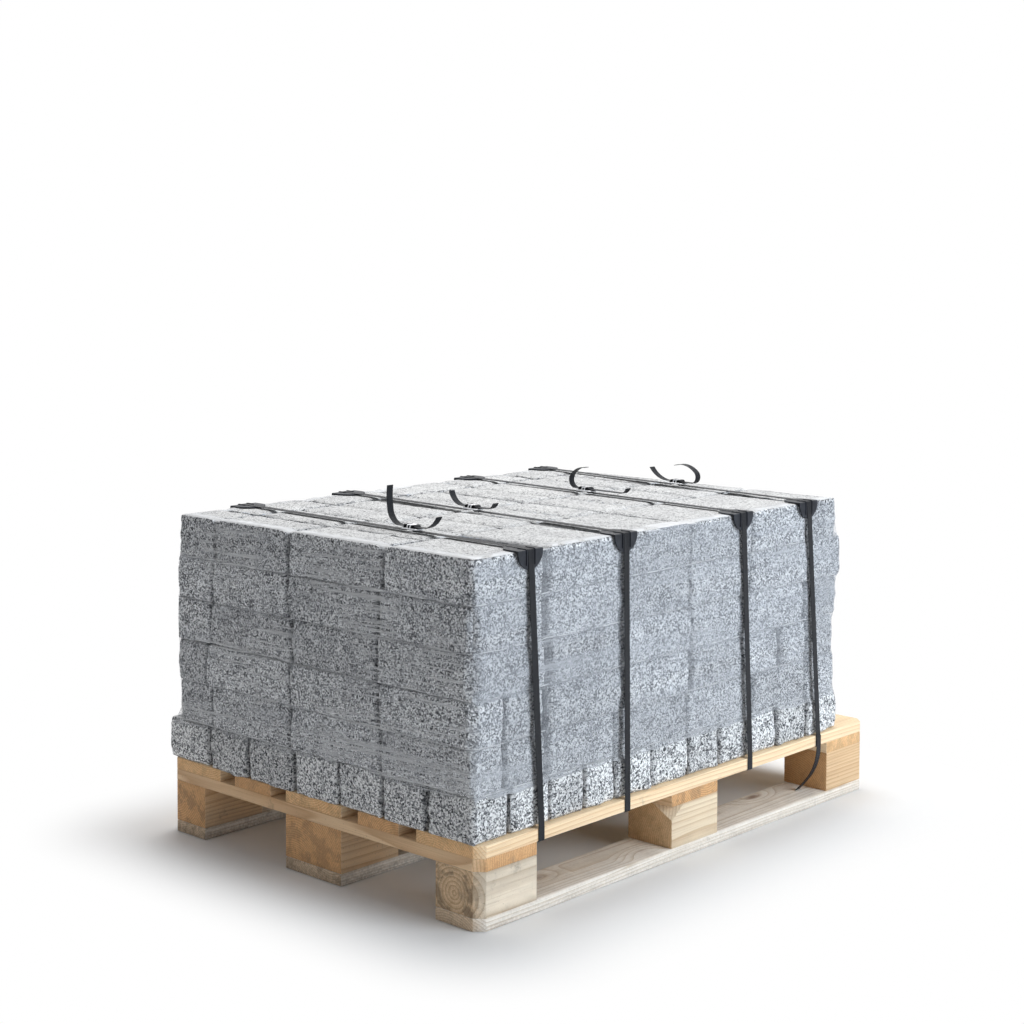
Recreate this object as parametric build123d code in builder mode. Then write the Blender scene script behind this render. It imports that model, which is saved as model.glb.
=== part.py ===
from build123d import *
import math
import os
import random

os.makedirs("parts", exist_ok=True)

# A 1200 by 800 block pallet loaded with six courses of split granite setts. X runs along the pallet and Y
# across it. The origin is on the floor under the middle of the pallet. The photograph looks from -X, -Y.

# Driving dimensions of the pallet
PALLET_LENGTH = 1200
PALLET_WIDTH = 800
BOARD_THICKNESS = 22
BLOCK_HEIGHT = 78
BLOCK_LENGTH = 145
WIDE_BOARD = 145
NARROW_BOARD = 100
CORNER_CLIP = 16.5
RUNNER_BEVEL = 3
WANE_ALONG = 38
WANE_ACROSS = 46
WANE_DOWN = 26

# Driving dimensions of the load
COURSE_HEIGHT = 79
COURSES = 6
LOAD_LEFT = -608
LOAD_FRONT = -394
JOINT = 3.2
JOINT_SCATTER = 1.1
SPLIT_TAPER = 2.4
CELL = 104
SEED = 11

# Driving dimensions of the film, straps, protectors and buckles
FILM_THICKNESS = 0.7
FILM_SLACK = 0.4
FILM_FOLD = 38
STRAP_WIDTH = 15
STRAP_THICKNESS = 0.8
PROTECTOR_WIDTH = 64
PROTECTOR_DROP = 31
PROTECTOR_REACH = 48
PROTECTOR_THICKNESS = 2.4
RIB_WIDTH = 1.8
RIB_HEIGHT = 1.8
RIB_SPACING = 21.8
RIB_DROP = 24
RIB_REACH = 18
PROTECTOR_CORNER = 2.2
LOBE_RADIUS = 30
WIRE = 3.2
BAR_WIRE = 2.8
ARCH_WIRE = 2.6
WIRE_CLEARANCE = 1.6
WIRE_SIDES = 6
WIRE_CHAMFER = 0.9
BUCKLE_LENGTH = 40
BUCKLE_WIDTH = 20
BUCKLE_CORNER = 4
BUCKLE_BAR = 11
ARCH_PLACE = 3.6
ARCH_RISE = 6.5
ARCH_TOP = 15
EDGE_GAP = 0.9

# Each strap's X at the load's top front edge, at its top back edge and at the deck, and its buckle's Y
STRAP_FRONT_X = [-470, -209, 156, 384]
STRAP_BACK_X = [-441, -166, 206, 458]
STRAP_DECK_X = [-445, -207, 178, 420]
BUCKLE_Y = [-110, -10, 8, -52]

# The free tails, back one then front one: a straight length past the fold, then curls of (radius, degrees)
STRAP_TAILS = [
    [(16, [(30, 80), (150, 17)]), (18, [(45, 62)])],
    [(14, [(34, 76)]), (32, [(21, 66)])],
    [(14, [(16, 125), (44, 58)]), (88, [(16, 72)])],
    [(12, [(62, 53)]), (32, [(14, 140), (56, 60)])],
]

# The loose end outside strap 4: its height above the deck's underside, then one long curl to the runner
LOOSE_END_X = 421
LOOSE_END_RISE = 22
LOOSE_END_CURL = [(115, 38), (400, 5)]
LOOSE_END_STRAIGHT = 3

# Levels that follow from the driving dimensions
STRINGER_BOTTOM = BOARD_THICKNESS + BLOCK_HEIGHT
DECK_BOTTOM = STRINGER_BOTTOM + BOARD_THICKNESS
DECK_TOP = DECK_BOTTOM + BOARD_THICKNESS
LOAD_TOP = DECK_TOP + COURSES * COURSE_HEIGHT
HALF_LENGTH = PALLET_LENGTH / 2
HALF_WIDTH = PALLET_WIDTH / 2
HALF_STRAP = STRAP_WIDTH / 2
FILM_OUTSIDE = FILM_SLACK + FILM_THICKNESS - JOINT / 2
FILM_TOP = LOAD_TOP + FILM_SLACK + FILM_THICKNESS
PROTECTOR_TOP = FILM_TOP + PROTECTOR_THICKNESS
STRAP_MIDDLE = PROTECTOR_TOP + STRAP_THICKNESS / 2
WIRE_CENTRE = PROTECTOR_TOP + STRAP_THICKNESS + WIRE_CLEARANCE + WIRE / 2
FOLD_RADIUS = WIRE_CENTRE - STRAP_MIDDLE
FOLD_START = BUCKLE_LENGTH / 2 + 4

# Where each course ends on the right and at the back, from the bottom course up
COURSE_RIGHT = [505, 497, 493, 499, 514, 496]
COURSE_BACK = [400, 370, 371, 375, 374, 370]


def finish(builder, name):
    """Labels one finished piece and writes it to its own file."""
    builder.part.label = name
    export_step(builder.part, f"parts/{name}.step")


# Pallet

def block_rows():
    """Centre lines of the blocks along X."""
    outer = HALF_LENGTH - BLOCK_LENGTH / 2
    return [-outer, 0, outer]


def plan_of_pallet():
    """The clipped rectangle that the outer boards and blocks are cut to."""
    with BuildSketch() as plan:
        Rectangle(PALLET_LENGTH, PALLET_WIDTH)
        chamfer(plan.vertices(), CORNER_CLIP)
    return plan.sketch


pallet_plan = plan_of_pallet()


def board_lengthwise(y, width, bottom):
    """One board along X, its corners clipped with the pallet's own."""
    with BuildPart() as board:
        with BuildSketch(Plane.XY.offset(bottom)):
            add(pallet_plan)
            with Locations((0, y)):
                Rectangle(PALLET_LENGTH, width, mode=Mode.INTERSECT)
        extrude(amount=BOARD_THICKNESS)
    return board


deck_widths = [WIDE_BOARD, NARROW_BOARD, WIDE_BOARD, NARROW_BOARD, WIDE_BOARD]
deck_gap = (PALLET_WIDTH - sum(deck_widths)) / (len(deck_widths) - 1)
deck_edge = -HALF_WIDTH
for number, width in enumerate(deck_widths, 1):
    deck_board = board_lengthwise(deck_edge + width / 2, width, DECK_BOTTOM)
    finish(deck_board, f"deck_board_{number}")
    deck_edge += width + deck_gap

runner_lines = [
    (-HALF_WIDTH + NARROW_BOARD / 2, NARROW_BOARD),
    (0, WIDE_BOARD),
    (HALF_WIDTH - NARROW_BOARD / 2, NARROW_BOARD),
]
for number, (y, width) in enumerate(runner_lines, 1):
    bottom_board = board_lengthwise(y, width, 0)
    with bottom_board:
        long_edges = bottom_board.edges().filter_by(Axis.X).group_by(Axis.Z)[-1]
        chamfer(long_edges, RUNNER_BEVEL)
    finish(bottom_board, f"bottom_board_{number}")

for number, x in enumerate(block_rows(), 1):
    with BuildPart() as stringer_board:
        with BuildSketch(Plane.XY.offset(STRINGER_BOTTOM)):
            add(pallet_plan)
            with Locations((x, 0)):
                Rectangle(WIDE_BOARD, PALLET_WIDTH, mode=Mode.INTERSECT)
        extrude(amount=BOARD_THICKNESS)
    finish(stringer_board, f"stringer_board_{number}")

column_names = ["left", "middle", "right"]
row_names = ["front", "middle", "back"]
for column, x in zip(column_names, block_rows()):
    for row, (y, width) in zip(row_names, runner_lines):
        with BuildPart() as block:
            with BuildSketch(Plane.XY.offset(BOARD_THICKNESS)):
                add(pallet_plan)
                with Locations((x, y)):
                    Rectangle(BLOCK_LENGTH, width, mode=Mode.INTERSECT)
            extrude(amount=BLOCK_HEIGHT)
            if (column, row) == ("middle", "front"):
                # The bark edge of the log shows as a slanting cut at this block's upper left corner
                corner = Vector(x - BLOCK_LENGTH / 2, -HALF_WIDTH, STRINGER_BOTTOM)
                along = corner + Vector(WANE_ALONG, 0, 0)
                across = corner + Vector(0, WANE_ACROSS, 0)
                down = corner - Vector(0, 0, WANE_DOWN)
                normal = (across - along).cross(down - along).normalized()
                split(bisect_by=Plane(along, z_dir=normal), keep=Keep.BOTTOM)
        finish(block, f"block_{column}_{row}")


# Setts

def strip_along_x(front, back, cuts):
    """Cells of one row that runs along X, between the given joints."""
    return [(left, right, front, back) for left, right in zip(cuts, cuts[1:])]


def strip_along_y(left, right, cuts):
    """Cells of one column that runs along Y, between the given joints."""
    return [(left, right, front, back) for front, back in zip(cuts, cuts[1:])]


def even_cuts(start, end, pitch):
    """Joints at about one pitch from start to end."""
    count = round((end - start) / pitch)
    return [start + (end - start) * i / count for i in range(count + 1)]


def bonded_course(right, back, front_joints, side_joints):
    """A course of a long front row, two rows of headers and a back row of stretchers."""
    first, second, third = side_joints
    cells = strip_along_x(LOAD_FRONT, first, [LOAD_LEFT, *front_joints, right])
    headers = even_cuts(LOAD_LEFT, right, CELL)
    for left, next_left in zip(headers, headers[1:]):
        cells += strip_along_y(left, next_left, [first, second, third])
    cells += strip_along_x(third, back, even_cuts(LOAD_LEFT, right, 2 * CELL))
    return cells


def top_course(right, back):
    """The course that shows from above, with the joints that the photograph shows on it."""
    front_row = [LOAD_LEFT, -425, -215, -5, 200, 390, right]
    cells = strip_along_x(LOAD_FRONT, -178, front_row)
    columns = [LOAD_LEFT, -497, -390, -290, -190, -98, 4, 106, 210, 313, 410, right]
    for left, next_left in zip(columns, columns[1:]):
        middle = 61 if next_left < -300 else 21
        cells += strip_along_y(left, next_left, [-178, middle, 264])
    cells += strip_along_x(264, back, [LOAD_LEFT, -497, -290, -90, 120, 320, right])
    return cells


def bottom_course(right, back):
    """The course of cube setts that the film leaves bare."""
    columns = [LOAD_LEFT, -514, -410, -315, -228, -118, -11, 90, 185, 285, 390, right]
    rows = [LOAD_FRONT, -281, -177, -68, 48, 172, 283, back]
    return [
        (left, next_left, front, next_front)
        for left, next_left in zip(columns, columns[1:])
        for front, next_front in zip(rows, rows[1:])
    ]


course_cells = [
    bottom_course(COURSE_RIGHT[0], COURSE_BACK[0]),
    bonded_course(COURSE_RIGHT[1], COURSE_BACK[1], [-525, -422, -228, -10, 195, 390], [-173, 57, 273]),
    bonded_course(COURSE_RIGHT[2], COURSE_BACK[2], [-528, -424, -212, -5, 165, 290, 388], [-168, 55, 285]),
    bonded_course(COURSE_RIGHT[3], COURSE_BACK[3], [-420, -215, 2, 160, 380], [-164, 50, 275]),
    bonded_course(COURSE_RIGHT[4], COURSE_BACK[4], [-425, -215, -6, 193, 395], [-166, 60, 271]),
    top_course(COURSE_RIGHT[5], COURSE_BACK[5]),
]


def sett_outline(cell, scatter):
    """Corners of one sett at its mid height, half a joint and a little scatter inside its cell."""
    left, right, front, back = cell
    corners = [(left, front, 1, 1), (right, front, -1, 1), (right, back, -1, -1), (left, back, 1, -1)]
    outline = []
    for x, y, inward_x, inward_y in corners:
        drawn_x = JOINT / 2 + scatter.uniform(0, JOINT_SCATTER)
        drawn_y = JOINT / 2 + scatter.uniform(0, JOINT_SCATTER)
        outline.append((x + inward_x * drawn_x, y + inward_y * drawn_y))
    return outline


scatter = random.Random(SEED)
for number, cells in enumerate(course_cells, 1):
    middle_height = DECK_TOP + (number - 0.5) * COURSE_HEIGHT
    with BuildPart() as setts_course:
        for cell in cells:
            with BuildSketch(Plane.XY.offset(middle_height)):
                Polygon(*sett_outline(cell, scatter), align=None)
        # Both halves taper away from the middle, so each split side stands out at mid height
        extrude(amount=COURSE_HEIGHT / 2, both=True, taper=SPLIT_TAPER)
    finish(setts_course, f"setts_course_{number}")


# Stretch film

def film_levels():
    """Heights at which the film changes slope, each with the courses that it has to clear."""
    drawn_in = COURSE_HEIGHT / 2 * math.tan(math.radians(SPLIT_TAPER))
    levels = [(DECK_TOP + COURSE_HEIGHT + FILM_SLACK, [1], drawn_in)]
    for course in range(1, COURSES):
        bottom = DECK_TOP + course * COURSE_HEIGHT
        levels.append((bottom + COURSE_HEIGHT / 2, [course], 0))
        if course < COURSES - 1:
            levels.append((bottom + COURSE_HEIGHT, [course, course + 1], drawn_in))
    levels.append((FILM_TOP, [COURSES - 1], drawn_in))
    return levels


def film_section(courses, inset):
    """The rectangle round the named courses, drawn in by the inset."""
    right = max(COURSE_RIGHT[course] for course in courses) - inset
    back = max(COURSE_BACK[course] for course in courses) - inset
    left = LOAD_LEFT + inset
    front = LOAD_FRONT + inset
    with Locations(((left + right) / 2, (front + back) / 2)):
        Rectangle(right - left, back - front)


with BuildPart() as stretch_film:
    for height, courses, drawn_in in film_levels():
        with BuildSketch(Plane.XY.offset(height)):
            film_section(courses, drawn_in - FILM_OUTSIDE)
    loft(ruled=True)
    for height, courses, drawn_in in film_levels():
        with BuildSketch(Plane.XY.offset(height)):
            film_section(courses, drawn_in - FILM_OUTSIDE + FILM_THICKNESS)
    loft(ruled=True, mode=Mode.SUBTRACT)
    with BuildSketch(Plane.XY.offset(FILM_TOP)):
        top_courses, top_drawn_in = film_levels()[-1][1:]
        film_section(top_courses, top_drawn_in - FILM_OUTSIDE)
        with Locations(((LOAD_LEFT + COURSE_RIGHT[-1]) / 2, (LOAD_FRONT + COURSE_BACK[-1]) / 2)):
            Rectangle(
                COURSE_RIGHT[-1] - LOAD_LEFT - 2 * FILM_FOLD,
                COURSE_BACK[-1] - LOAD_FRONT - 2 * FILM_FOLD,
                mode=Mode.SUBTRACT,
            )
    extrude(amount=-FILM_THICKNESS)
finish(stretch_film, "stretch_film")


# Corner protectors

FRONT = -1
BACK = 1
PROTECTOR_FACE = {FRONT: LOAD_FRONT - FILM_OUTSIDE, BACK: COURSE_BACK[-1] + FILM_OUTSIDE}


def lobe(depth, toward):
    """One lobe of a protector on one side of the sketch's X axis, round at its far end."""
    with BuildSketch(mode=Mode.PRIVATE) as outline:
        with Locations((0, toward * depth / 2)):
            Rectangle(PROTECTOR_WIDTH, depth)
        fillet(outline.vertices().sort_by(Axis.Y, reverse=toward > 0)[:2], LOBE_RADIUS)
    return outline.sketch


def edge_plane(x, face, height, side):
    """A plane across the load's top edge: its X points outward from the face and its Y points up."""
    return Plane((x, face, height), x_dir=(0, side, 0), z_dir=(side, 0, 0))


def corner_protector(x, side):
    """An angle of two half round lobes over the load's edge, with ribs that guide the strap."""
    face = PROTECTOR_FACE[side]
    edge = (x, face, FILM_TOP)
    rib_out = PROTECTOR_THICKNESS + RIB_HEIGHT
    rib_in = PROTECTOR_THICKNESS / 2
    with BuildPart() as protector:
        with BuildSketch(Plane(edge, x_dir=(-side, 0, 0), z_dir=(0, side, 0))):
            add(lobe(PROTECTOR_DROP, -1))
        extrude(amount=PROTECTOR_THICKNESS)
        with BuildSketch(Plane(edge)):
            add(lobe(PROTECTOR_REACH, -side))
        extrude(amount=PROTECTOR_THICKNESS)
        with BuildSketch(edge_plane(*edge, side)) as corner:
            Rectangle(PROTECTOR_THICKNESS, PROTECTOR_THICKNESS, align=Align.MIN)
            fillet(corner.vertices().group_by(Axis.X)[-1].sort_by(Axis.Y)[-1], PROTECTOR_CORNER)
        extrude(amount=PROTECTOR_WIDTH / 2, both=True)
        for rib in (-1, 1):
            rib_x = x + rib * RIB_SPACING / 2
            with BuildSketch(edge_plane(rib_x, face, FILM_TOP, side)) as rib_shape:
                Polygon(
                    (-RIB_REACH, rib_in),
                    (-RIB_REACH, rib_out),
                    (rib_out, rib_out),
                    (rib_out, -RIB_DROP),
                    (rib_in, -RIB_DROP),
                    (rib_in, rib_in),
                    align=None,
                )
                outer_corner = rib_shape.vertices().group_by(Axis.X)[-1].sort_by(Axis.Y)[-1]
                fillet(outer_corner, PROTECTOR_CORNER + RIB_HEIGHT)
            extrude(amount=RIB_WIDTH / 2, both=True)
    return protector


for number in range(1, 5):
    front_protector = corner_protector(STRAP_FRONT_X[number - 1], FRONT)
    finish(front_protector, f"corner_protector_front_{number}")
    back_protector = corner_protector(STRAP_BACK_X[number - 1], BACK)
    finish(back_protector, f"corner_protector_back_{number}")


# Straps

BACK_SHOULDER = COURSE_BACK[0] - JOINT / 2 + FILM_SLACK


def strap_corner(x, face, height, side):
    """The quarter turn of a strap over the protector at the load's top edge."""
    with BuildPart() as corner:
        with BuildSketch(edge_plane(x, face - side * PROTECTOR_CORNER, height - PROTECTOR_CORNER, side)):
            Circle(PROTECTOR_CORNER + STRAP_THICKNESS)
            Circle(PROTECTOR_CORNER, mode=Mode.SUBTRACT)
            Rectangle(2 * PROTECTOR_WIDTH, 2 * PROTECTOR_WIDTH, align=Align.MIN, mode=Mode.INTERSECT)
        extrude(amount=HALF_STRAP, both=True)
    return corner.part


def side_run(stations, side):
    """A strap's run down one side, through stations of (x, y of its inner face, height)."""
    with BuildPart() as run:
        for x, y, height in stations:
            with BuildSketch(Plane.XY.offset(height)):
                with Locations((x, y + side * STRAP_THICKNESS / 2)):
                    Rectangle(STRAP_WIDTH, STRAP_THICKNESS)
        loft(ruled=True)
    return run.part


def top_run(edge, fold):
    """A strap's run over the load's top, from its edge to the fold at the buckle."""
    with BuildPart() as run:
        for x, y in (edge, fold):
            with BuildSketch(Plane((x, y, STRAP_MIDDLE), x_dir=(1, 0, 0), z_dir=(0, 1, 0))):
                Rectangle(STRAP_WIDTH, STRAP_THICKNESS)
        loft(ruled=True)
    return run.part


def deck_run(x, y_deck):
    """The strap's run down the deck's two edges and along its underside."""
    middle = y_deck + STRAP_THICKNESS / 2
    bend = EDGE_GAP + STRAP_THICKNESS / 2
    with BuildPart() as run:
        with BuildSketch(Plane.YZ.offset(x)):
            with BuildLine():
                down = Line((middle, DECK_TOP), (middle, DECK_BOTTOM + EDGE_GAP))
                turn = JernArc(down @ 1, (0, -1), bend, -90)
                across = Line(turn @ 1, (-HALF_WIDTH, DECK_BOTTOM - STRAP_THICKNESS / 2))
                back_turn = JernArc(across @ 1, (-1, 0), bend, -90)
                Line(back_turn @ 1, (-middle, DECK_TOP))
            trace(line_width=STRAP_THICKNESS)
        extrude(amount=HALF_STRAP, both=True)
    return run.part


def fold_and_tail(plane, end, length, curls):
    """The strap's end at the buckle: under the bar, round it, and out again into its curled tail."""
    with BuildPart() as tail:
        with BuildSketch(plane):
            with BuildLine():
                under = Line((end * FOLD_START, STRAP_MIDDLE), (end * BUCKLE_BAR, STRAP_MIDDLE))
                fold = JernArc(under @ 1, under % 1, FOLD_RADIUS, -end * 180)
                piece = Line(fold @ 1, fold @ 1 + (fold % 1) * length)
                for radius, degrees in curls:
                    piece = JernArc(piece @ 1, piece % 1, radius, end * degrees)
            trace(line_width=STRAP_THICKNESS)
        extrude(amount=HALF_STRAP, both=True)
    return tail.part


for number in range(1, 5):
    x_front = STRAP_FRONT_X[number - 1]
    x_back = STRAP_BACK_X[number - 1]
    x_deck = STRAP_DECK_X[number - 1]
    y_buckle = BUCKLE_Y[number - 1]
    y_front = PROTECTOR_FACE[FRONT] - PROTECTOR_THICKNESS
    y_back = PROTECTOR_FACE[BACK] + PROTECTOR_THICKNESS
    y_deck = HALF_WIDTH + EDGE_GAP
    y_top_front = y_front + PROTECTOR_CORNER
    y_top_back = y_back - PROTECTOR_CORNER
    slope = (x_back - x_front) / (y_top_back - y_top_front)
    along = Vector(slope, 1, 0).normalized()
    buckle = Vector(x_front + slope * (y_buckle - y_top_front), y_buckle, 0)
    tail_plane = Plane(buckle, x_dir=along, z_dir=along.cross(Vector(0, 0, 1)))
    back_tail, front_tail = STRAP_TAILS[number - 1]
    turn_height = PROTECTOR_TOP - PROTECTOR_CORNER
    shoulder = (x_deck + (x_back - x_deck) / 6, BACK_SHOULDER, DECK_TOP + COURSE_HEIGHT)
    with BuildPart() as strap:
        add(strap_corner(x_front, y_front, PROTECTOR_TOP, FRONT))
        add(side_run([(x_front, y_front, turn_height), (x_deck, -y_deck, DECK_TOP)], FRONT))
        add(strap_corner(x_back, y_back, PROTECTOR_TOP, BACK))
        add(side_run([(x_back, y_back, turn_height), shoulder, (x_deck, y_deck, DECK_TOP)], BACK))
        add(deck_run(x_deck, y_deck))
        top_edges = {BACK: (x_back, y_top_back), FRONT: (x_front, y_top_front)}
        for end, tail in ((BACK, back_tail), (FRONT, front_tail)):
            fold_start = buckle + along * (end * FOLD_START)
            add(top_run(top_edges[end], (fold_start.X, fold_start.Y)))
            add(fold_and_tail(tail_plane, end, *tail))
    finish(strap, f"strap_{number}")

    # Wire buckle: a frame inside the folds, two bars that the strap turns round, and two arches over them
    with BuildPart() as wire_buckle:
        middle = Plane(buckle + Vector(0, 0, WIRE_CENTRE), x_dir=along, z_dir=(0, 0, 1))
        with BuildSketch(middle) as frame:
            Rectangle(BUCKLE_LENGTH + WIRE, BUCKLE_WIDTH + WIRE)
            chamfer(frame.vertices(), BUCKLE_CORNER)
            offset(amount=-WIRE, kind=Kind.INTERSECTION, mode=Mode.SUBTRACT)
        extrude(amount=WIRE / 2, both=True)
        chamfer(wire_buckle.edges().filter_by(Axis.Z, reverse=True), WIRE_CHAMFER)
        for end in (-1, 1):
            bar_middle = middle.from_local_coords((end * BUCKLE_BAR, 0, 0))
            with BuildSketch(Plane(bar_middle, x_dir=(0, 0, 1), z_dir=middle.y_dir)):
                RegularPolygon(BAR_WIRE / 2, WIRE_SIDES)
            extrude(amount=BUCKLE_WIDTH / 2, both=True)
            arch_middle = middle.from_local_coords((end * ARCH_PLACE, 0, 0))
            with BuildLine(Plane(arch_middle, x_dir=middle.y_dir, z_dir=along)):
                arch = Polyline(
                    (-BUCKLE_WIDTH / 2, 0),
                    (-ARCH_TOP / 2, ARCH_RISE),
                    (ARCH_TOP / 2, ARCH_RISE),
                    (BUCKLE_WIDTH / 2, 0),
                )
            with BuildSketch(Plane(arch @ 0, z_dir=arch % 0)):
                RegularPolygon(ARCH_WIRE / 2, WIRE_SIDES)
            sweep(path=arch, transition=Transition.RIGHT)
    finish(wire_buckle, f"wire_buckle_{number}")


# Loose strap end, doubled on the outside of strap 4 at the deck's edge

with BuildPart() as loose_strap_end:
    with BuildSketch(Plane.YZ.offset(LOOSE_END_X)):
        with BuildLine():
            edge_line = -HALF_WIDTH - EDGE_GAP - 1.5 * STRAP_THICKNESS
            piece = Line((edge_line, DECK_BOTTOM + LOOSE_END_RISE), (edge_line, DECK_BOTTOM))
            for radius, degrees in LOOSE_END_CURL:
                piece = JernArc(piece @ 1, piece % 1, radius, degrees)
            Line(piece @ 1, piece @ 1 + (piece % 1) * LOOSE_END_STRAIGHT)
        trace(line_width=STRAP_THICKNESS)
    extrude(amount=HALF_STRAP, both=True)
finish(loose_strap_end, "loose_strap_end")
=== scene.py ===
import math
import random

import bpy
import numpy as np
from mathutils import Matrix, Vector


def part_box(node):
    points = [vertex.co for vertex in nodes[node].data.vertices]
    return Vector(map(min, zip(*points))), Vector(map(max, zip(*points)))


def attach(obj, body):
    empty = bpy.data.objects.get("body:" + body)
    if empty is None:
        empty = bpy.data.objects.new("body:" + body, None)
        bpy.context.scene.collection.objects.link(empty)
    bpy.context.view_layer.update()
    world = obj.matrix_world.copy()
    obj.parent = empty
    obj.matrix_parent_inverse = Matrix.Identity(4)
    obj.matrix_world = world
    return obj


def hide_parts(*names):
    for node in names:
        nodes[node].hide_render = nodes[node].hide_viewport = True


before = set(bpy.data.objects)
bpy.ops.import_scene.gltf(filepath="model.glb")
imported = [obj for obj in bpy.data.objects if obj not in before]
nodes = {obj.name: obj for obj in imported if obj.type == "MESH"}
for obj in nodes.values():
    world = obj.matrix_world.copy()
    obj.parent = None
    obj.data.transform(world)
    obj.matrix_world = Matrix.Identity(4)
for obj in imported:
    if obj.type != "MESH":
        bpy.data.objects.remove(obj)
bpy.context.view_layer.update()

DRAWS = random.Random(41)

# Camera, solved from the pallet's corners. Its focal length and principal point are in pixels of the picture
PICTURE = 1024
FOCAL_PIXELS = 1879.47
PRINCIPAL_POINT = (373.06, 349.83)
CAMERA_PLACE = (-2.86115, -2.42174, 1.11934)
CAMERA_YAW = -44.896
CAMERA_PITCH = -3.0
SENSOR = 36

COURSES = range(1, 7)
TOP_COURSE = 6
STRAPS = range(1, 5)


# Small helpers for picking and finishing pieces

def only(piece):
    """Makes piece the one selected and active object."""
    bpy.ops.object.select_all(action="DESELECT")
    piece.select_set(True)
    bpy.context.view_layer.objects.active = piece


def finish_with(piece, kind, **settings):
    """Adds a modifier to piece and applies it at once."""
    only(piece)
    modifier = piece.modifiers.new(kind.lower(), kind)
    for key, value in settings.items():
        setattr(modifier, key, value)
    bpy.ops.object.modifier_apply(modifier=modifier.name)


def merged_copy(node, name):
    """A copy of a CAD node whose loose triangles are merged into whole faces."""
    copy = bpy.data.objects.new(name, nodes[node].data.copy())
    bpy.context.scene.collection.objects.link(copy)
    copy.data.materials.clear()
    only(copy)
    bpy.ops.object.mode_set(mode="EDIT")
    bpy.ops.mesh.select_all(action="SELECT")
    bpy.ops.mesh.remove_doubles(threshold=0.00002)
    bpy.ops.mesh.dissolve_limited(angle_limit=math.radians(0.4))
    bpy.ops.object.mode_set(mode="OBJECT")
    return copy


def corners(piece):
    """Lowest and highest corner of a piece's mesh."""
    places = places_of(piece)
    return places.min(0), places.max(0)


def places_of(piece):
    """The vertices of a piece as rows of x, y, z."""
    places = np.zeros(len(piece.data.vertices) * 3)
    piece.data.vertices.foreach_get("co", places)
    return places.reshape(-1, 3)


def normals_of(piece):
    """The vertex normals of a piece as rows of x, y, z."""
    normals = np.zeros(len(piece.data.vertices) * 3)
    piece.data.vertices.foreach_get("normal", normals)
    return normals.reshape(-1, 3)


def weigh(piece, name, weights):
    """Gives piece a vertex group, its weights rounded to tenths."""
    group = piece.vertex_groups.new(name=name)
    tenths = np.rint(np.clip(weights, 0, 1) * 10).astype(int)
    for step in range(1, 11):
        group.add(np.nonzero(tenths == step)[0].tolist(), step / 10, "REPLACE")
    return group


def place_on_part(piece, slot, *replaced):
    """Fixes a finished piece to the pallet, in the place of the CAD nodes it stands for."""
    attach(piece, "root")
    if replaced:
        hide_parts(*replaced)


# Helpers for materials

def add_node(tree, kind, inputs=None, **settings):
    made = tree.nodes.new(kind)
    for key, value in settings.items():
        setattr(made, key, value)
    for key, value in (inputs or {}).items():
        if isinstance(value, bpy.types.NodeSocket):
            tree.links.new(value, made.inputs[key])
        else:
            made.inputs[key].default_value = value
    return made


def maths(tree, operation, *values, clamp=False):
    inputs = dict(enumerate(values))
    return add_node(tree, "ShaderNodeMath", inputs, operation=operation, use_clamp=clamp).outputs[0]


def times(tree, *values, clamp=False):
    return maths(tree, "MULTIPLY", *values, clamp=clamp)


def plus(tree, *values, clamp=False):
    return maths(tree, "ADD", *values, clamp=clamp)


def less(tree, *values):
    return maths(tree, "SUBTRACT", *values)


def vector_maths(tree, operation, *values):
    return add_node(tree, "ShaderNodeVectorMath", dict(enumerate(values)), operation=operation).outputs[0]


def scaled(tree, vector, factor):
    return add_node(tree, "ShaderNodeVectorMath", {0: vector, "Scale": factor}, operation="SCALE").outputs[0]


def mixed(tree, factor, first, second, blend="MIX"):
    inputs = {0: factor, 6: first, 7: second}
    made = add_node(tree, "ShaderNodeMix", inputs, data_type="RGBA", blend_type=blend)
    return made.outputs[2]


def noise(tree, vector, scale, detail=2.0, roughness=0.5):
    inputs = {"Vector": vector, "Scale": scale, "Detail": detail, "Roughness": roughness}
    return add_node(tree, "ShaderNodeTexNoise", inputs).outputs["Fac"]


def stretched_noise(tree, vector, stretch, detail=2.0, roughness=0.5):
    """Noise whose grain is drawn out along the axes with the smaller numbers."""
    return noise(tree, vector_maths(tree, "MULTIPLY", vector, stretch), 1.0, detail, roughness)


def cells(tree, vector, scale):
    return add_node(tree, "ShaderNodeTexVoronoi", {"Vector": vector, "Scale": scale, "Randomness": 1.0})


def chance_of(tree, cells_made, channel):
    """A random number for each cell, from one channel of its colour."""
    return add_node(tree, "ShaderNodeSeparateColor", {0: cells_made.outputs["Color"]}).outputs[channel]


def axes_of(tree, vector):
    return add_node(tree, "ShaderNodeSeparateXYZ", {0: vector}).outputs


def normal_axes(tree):
    return axes_of(tree, add_node(tree, "ShaderNodeNewGeometry").outputs["Normal"])


def painted(tree, name):
    """A number that the mesh keeps for each vertex."""
    made = add_node(tree, "ShaderNodeAttribute", attribute_name=name, attribute_type="GEOMETRY")
    return made.outputs["Fac"]


def steps(tree, value, stops):
    """A colour ramp of (place, colour) stops."""
    ramp = add_node(tree, "ShaderNodeValToRGB", {"Fac": value})
    while len(ramp.color_ramp.elements) < len(stops):
        ramp.color_ramp.elements.new(0.5)
    for element, (place, colour) in zip(ramp.color_ramp.elements, stops):
        element.position = place
        element.color = (*colour, 1)
    return ramp.outputs["Color"]


def ranged(tree, value, low, high, to_low=0.0, to_high=1.0, kind="SMOOTHSTEP"):
    """Maps a value from one range to another, smoothly or evenly, and holds it at the ends."""
    inputs = {"Value": value, "From Min": low, "From Max": high, "To Min": to_low, "To Max": to_high}
    return add_node(tree, "ShaderNodeMapRange", inputs, interpolation_type=kind).outputs[0]


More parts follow.
